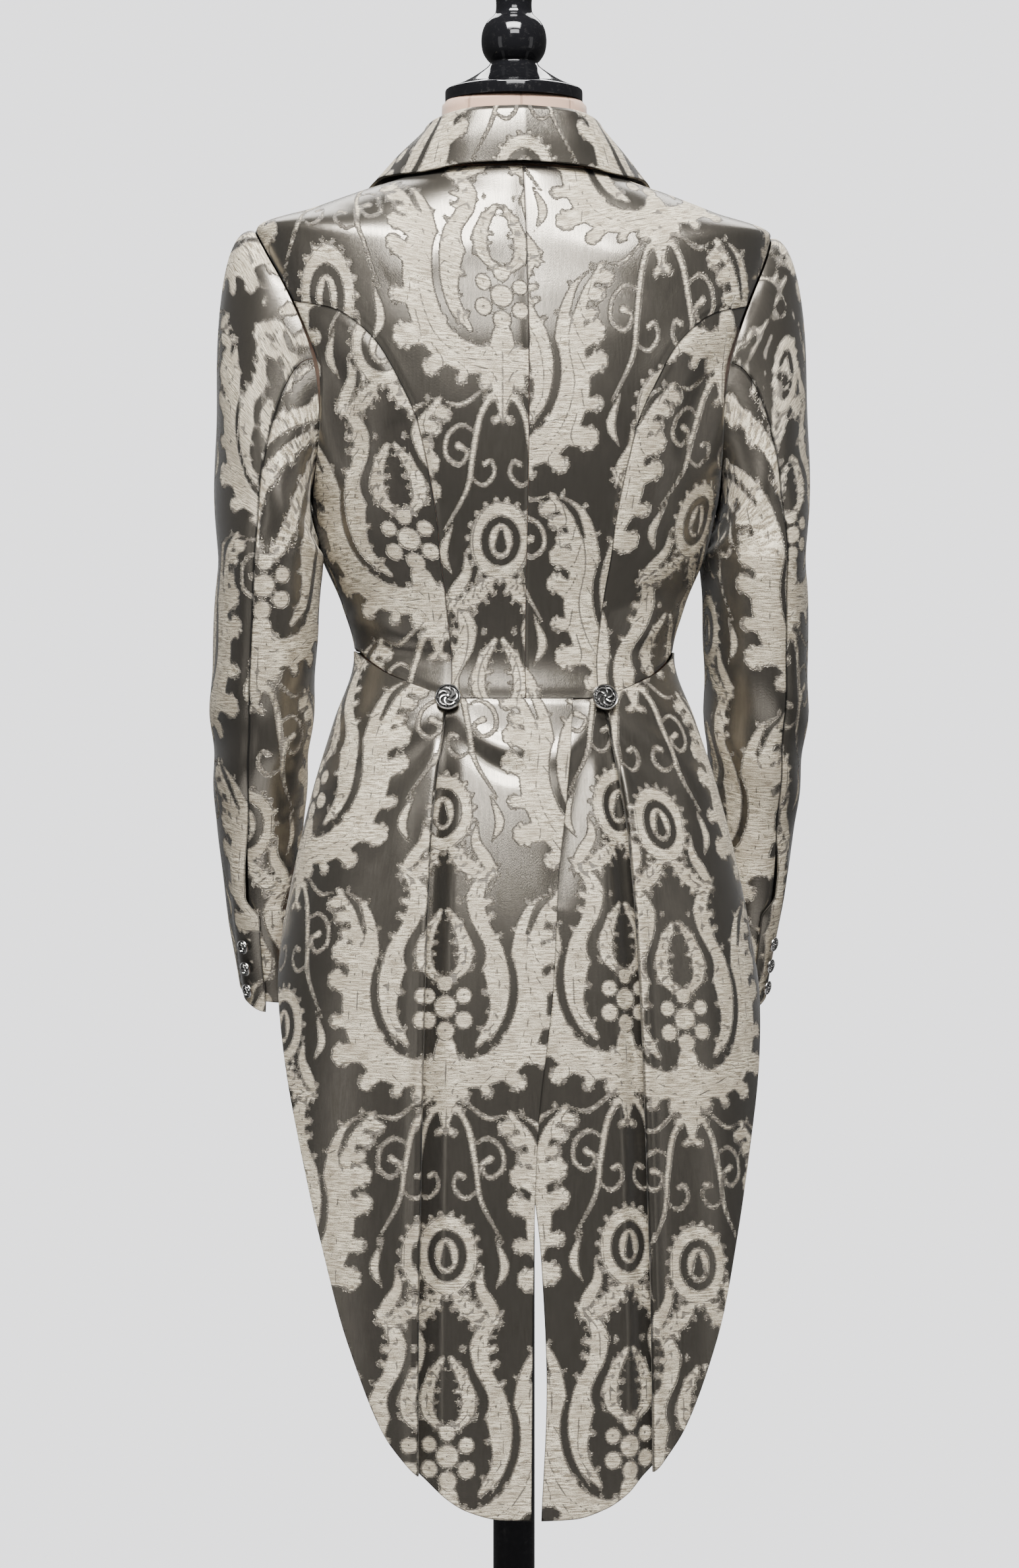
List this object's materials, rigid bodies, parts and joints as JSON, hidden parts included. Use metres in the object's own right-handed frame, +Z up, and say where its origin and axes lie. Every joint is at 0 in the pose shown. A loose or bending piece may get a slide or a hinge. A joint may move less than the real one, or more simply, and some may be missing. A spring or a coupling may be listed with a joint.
{
  "type": "tailcoat on a dress form",
  "caption": "Fitted women's tailcoat in woven damask on a limbless dress form with a pole and a round base.",
  "frame": {"origin": "on the floor below the middle of the round base, which is also the bottom centre of the whole object's box", "axes": "+Z up along the form's pole, the object's longest side; -Y the way the wearer faces, the object's shortest side along Y; +X the wearer's left"},
  "size_m": [0.4636, 0.41, 1.624],
  "materials": {
    "brocade": "satin damask in pewter and silver beige",
    "antique_silver": "antiqued silver",
    "form_cover": "plain peach jersey",
    "black_lacquer": "gloss black lacquer"
  },
  "bodies": {
    "root": {"back_button_left": "antique_silver", "back_button_right": "antique_silver", "back_left": "brocade", "back_right": "brocade", "collar": "brocade", "cuff_button_left_1": "antique_silver", "cuff_button_left_2": "antique_silver", "cuff_button_left_3": "antique_silver", "cuff_button_right_1": "antique_silver", "cuff_button_right_2": "antique_silver", "cuff_button_right_3": "antique_silver", "form_base": "black_lacquer", "form_cap": "black_lacquer", "form_pole": "black_lacquer", "form_torso": "form_cover", "front_button_1": "antique_silver", "front_button_2": "antique_silver", "front_button_3": "antique_silver", "front_left": "brocade", "front_right": "brocade", "lapel_left": "brocade", "lapel_right": "brocade", "side_back_left": "brocade", "side_back_right": "brocade", "side_front_left": "brocade", "side_front_right": "brocade", "sleeve_under_left": "brocade", "sleeve_under_right": "brocade", "sleeve_upper_left": "brocade", "sleeve_upper_right": "brocade", "tail_centre_left": "brocade", "tail_centre_right": "brocade", "tail_side_left": "brocade", "tail_side_right": "brocade"}
  },
  "joints": []
}
